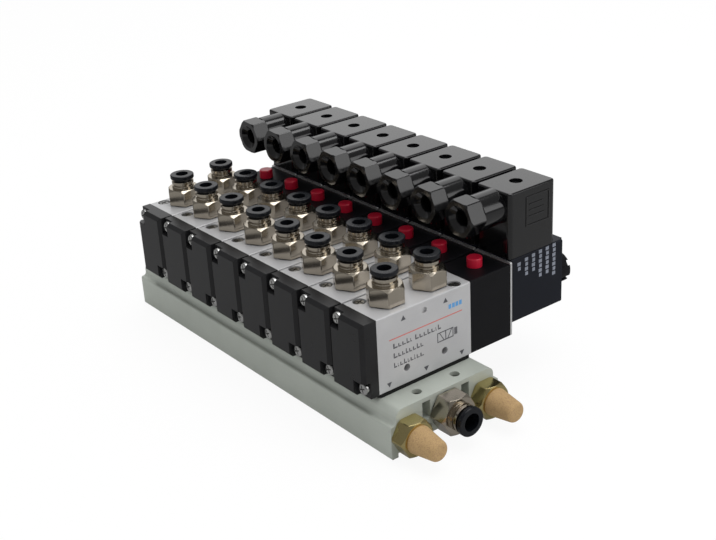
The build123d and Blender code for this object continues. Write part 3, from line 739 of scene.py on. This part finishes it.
@dataclass
class ConnectorPanels:
    """Raised frame and ribs on the side of each connector."""

    island: Island
    palette: Palette
    depth: float = 0.25
    frame_box: tuple[float, float, float, float] = (9.0, 23.5, 13.0, 27.0)
    rib: float = 0.6
    rib_share: float = 0.7
    rib_levels: tuple[float, ...] = (0.3, 0.5, 0.7)
    rib_inset: float = 2.0
    rib_taper: float = 3.0
    soften: float = 0.1

    def build(self) -> None:
        """Make the frames of all connectors as one piece."""
        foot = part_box("connector_housings")[0].z
        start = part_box("coils")[0].x
        shell = Shell()
        x0, x1, z0, z1 = self.frame_box
        bars = [rectangle(x0, x1, z1 - self.rib, z1), rectangle(x0, x0 + self.rib, z0, z1 - self.rib),
                rectangle(x1 - self.rib, x1, z0, z1 - self.rib),
                rectangle(x0 + self.rib, x1 - self.rib, z0, z0 + self.rib)]
        for level in self.rib_levels:
            z = z0 + (z1 - z0) * level
            end = x1 - self.rib_inset - self.rib_taper * level
            bars.append(rectangle(x0 + self.rib_inset, end, z, z + self.rib * self.rib_share))
        for y in self.island.station_y:
            frame = side_frame(start, y - self.island.half_width("connector_housings"), foot)
            for bar in bars:
                shell.plate(bar, frame, self.depth, self.soften)
        piece = shell.finish("connector_side_ribs", self.palette.get(CONNECTOR_BLACK))
        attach(piece, ROOT)
        LOG.info("built %s", piece.name)


@dataclass
class SealRings:
    """Rubber rings under the hexagons of the push-in fittings."""

    palette: Palette
    outlet_radius: float = 7.05
    supply_radius: float = 8.15
    thick: float = 0.42

    def build(self) -> None:
        """Make one ring at every fitting."""
        shell = Shell()
        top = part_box("valve_bodies")[1].z
        for row in "ab":
            for number in range(1, STATIONS + 1):
                low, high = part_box(f"release_collar_{row}_{number}")
                seat = Matrix.Translation(((low.x + high.x) / 2, (low.y + high.y) / 2, top))
                shell.lathe(circle_section(self.outlet_radius, self.thick, self.thick), seat)
        low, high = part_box("release_collar_p")
        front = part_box("manifold_base")[0].y
        seat = Matrix.Translation(((low.x + high.x) / 2, front, (low.z + high.z) / 2)) @ Matrix.Rotation(
            math.pi / 2, 4, "X")
        shell.lathe(circle_section(self.supply_radius, self.thick, self.thick), seat)
        piece = shell.finish("fitting_seal_rings", self.palette.get(SEAL_RUBBER), smooth=True)
        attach(piece, ROOT)
        LOG.info("built %s", piece.name)


# ---- studio ---------------------------------------------------------------------------------
@dataclass
class Studio:
    """Pale floor, soft light and the camera."""

    aim_mm: tuple[float, float, float] = (2.05, -44.5, 57.0)
    azimuth: float = -37.15
    elevation: float = 24.64
    roll: float = -3.25
    distance: float = 0.540
    lens: float = 61.06
    floor_size: float = 12.0
    floor_tone: float = 0.86
    floor_drop: float = 0.0002
    glow_share: float = 0.92
    mirror_share: float = 0.8
    ambient: float = 0.62
    mirrored: float = 0.22
    sensor: float = 36.0
    near: float = 0.01
    target: tuple[float, float, float] = (0.0, 0.0, 0.04)
    lamps: tuple[tuple[str, tuple[float, float, float], float, float], ...] = (
        ("top_softbox", (0.15, -0.10, 1.10), 0.9, 8.0),
        ("front_softbox", (0.55, -1.05, 0.55), 0.7, 2.5),
        ("back_softbox", (0.75, 0.95, 0.80), 1.1, 3.0),
    )

    def camera(self) -> None:
        """Place the camera and make it the scene's."""
        turn, tilt, roll = (math.radians(v) for v in (self.azimuth, self.elevation, self.roll))
        level = math.cos(tilt)
        forward = Vector((-math.sin(turn) * level, math.cos(turn) * level, -math.sin(tilt)))
        right = forward.cross(Vector((0, 0, 1))).normalized()
        up = right.cross(forward)
        across = right * math.cos(roll) + up * math.sin(roll)
        upward = up * math.cos(roll) - right * math.sin(roll)
        rotation = Matrix((across, upward, -forward)).transposed().to_4x4()
        data = bpy.data.cameras.new("camera")
        data.lens = self.lens
        data.sensor_width = self.sensor
        data.clip_start = self.near
        camera = bpy.data.objects.new("camera", data)
        low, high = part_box("valve_bodies")
        aim = Vector(((low.x + high.x) / 2, (low.y + high.y) / 2, 0.0)) + Vector(self.aim_mm) * MM
        camera.matrix_world = Matrix.Translation(aim - forward * self.distance) @ rotation
        bpy.context.scene.collection.objects.link(camera)
        bpy.context.scene.camera = camera

    def floor(self) -> None:
        """Pale floor that keeps a soft shadow and reads as white."""
        graph = Graph("studio_floor")
        paths = graph.add("ShaderNodeLightPath").outputs
        tone = (self.floor_tone, self.floor_tone, self.floor_tone, 1.0)
        diffuse = graph.add("ShaderNodeBsdfDiffuse", {}, {"Color": tone})
        glow = graph.add("ShaderNodeEmission", {}, {"Color": WHITE, "Strength": 1.0})
        share = Field(graph, paths["Is Camera Ray"]) * self.glow_share
        mixed = graph.add("ShaderNodeMixShader", {}, {0: share, 1: diffuse.outputs[0], 2: glow.outputs[0]})
        dim = graph.add("ShaderNodeEmission", {}, {"Color": WHITE, "Strength": self.mirrored})
        mirrored = Field(graph, paths["Is Glossy Ray"]) * self.mirror_share
        final = graph.add("ShaderNodeMixShader", {}, {0: mirrored, 1: mixed.outputs[0], 2: dim.outputs[0]})
        graph.tree.links.new(final.outputs[0], graph.output.inputs["Surface"])
        bm = bmesh.new()
        bmesh.ops.create_grid(bm, x_segments=1, y_segments=1, size=self.floor_size / 2)
        mesh = bpy.data.meshes.new("studio_floor")
        bm.to_mesh(mesh)
        bm.free()
        mesh.materials.append(graph.material)
        floor = bpy.data.objects.new("studio_floor", mesh)
        floor.location = (0.0, 0.0, -self.floor_drop)
        bpy.context.scene.collection.objects.link(floor)

    def world(self) -> None:
        """Soft surround: white to the eye, dimmer as light and dimmer still in reflections."""
        world = bpy.data.worlds.new("studio_world")
        world.use_nodes = True
        nodes, links = world.node_tree.nodes, world.node_tree.links
        nodes.clear()
        output = nodes.new("ShaderNodeOutputWorld")
        background = nodes.new("ShaderNodeBackground")
        paths = nodes.new("ShaderNodeLightPath")
        lit = nodes.new("ShaderNodeMapRange")
        lit.inputs["To Min"].default_value = self.ambient
        lit.inputs["To Max"].default_value = self.mirrored
        links.new(paths.outputs["Is Glossy Ray"], lit.inputs["Value"])
        blend = nodes.new("ShaderNodeMapRange")
        blend.inputs["To Max"].default_value = 1.0
        links.new(lit.outputs[0], blend.inputs["To Min"])
        links.new(paths.outputs["Is Camera Ray"], blend.inputs["Value"])
        links.new(blend.outputs[0], background.inputs["Strength"])
        background.inputs["Color"].default_value = WHITE
        links.new(background.outputs[0], output.inputs["Surface"])
        bpy.context.scene.world = world

    def lamp(self, name: str, place: tuple[float, float, float], size: float, power: float) -> None:
        """One square soft lamp aimed at the object.

        Args:
            name: the lamp's name.
            place: its place in metres.
            size: its edge in metres.
            power: its power in watts.
        """
        data = bpy.data.lights.new(name, "AREA")
        data.shape = "SQUARE"
        data.size = size
        data.energy = power
        lamp = bpy.data.objects.new(name, data)
        lamp.location = place
        lamp.rotation_euler = (Vector(self.target) - Vector(place)).to_track_quat("-Z", "Y").to_euler()
        bpy.context.scene.collection.objects.link(lamp)

    def build(self) -> None:
        """Build the whole studio."""
        self.camera()
        self.floor()
        self.world()
        for name, place, size, power in self.lamps:
            self.lamp(name, place, size, power)
        bpy.context.scene.view_settings.view_transform = "Standard"
        LOG.info("built the studio")


def main() -> None:
    """Load the frame, dress it, and add the details and the studio."""
    logging.basicConfig(level=logging.INFO, format="%(name)s: %(message)s")
    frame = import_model()
    studio = Studio()
    studio.build()
    palette = Palette()
    CadDress(palette).dress(frame["nodes"])
    island = Island()
    ValvePrint(island, palette).build()
    CoilPrint(island, palette).build()
    ConnectorPanels(island, palette).build()
    SealRings(palette).build()


if __name__ == "__main__":
    main()
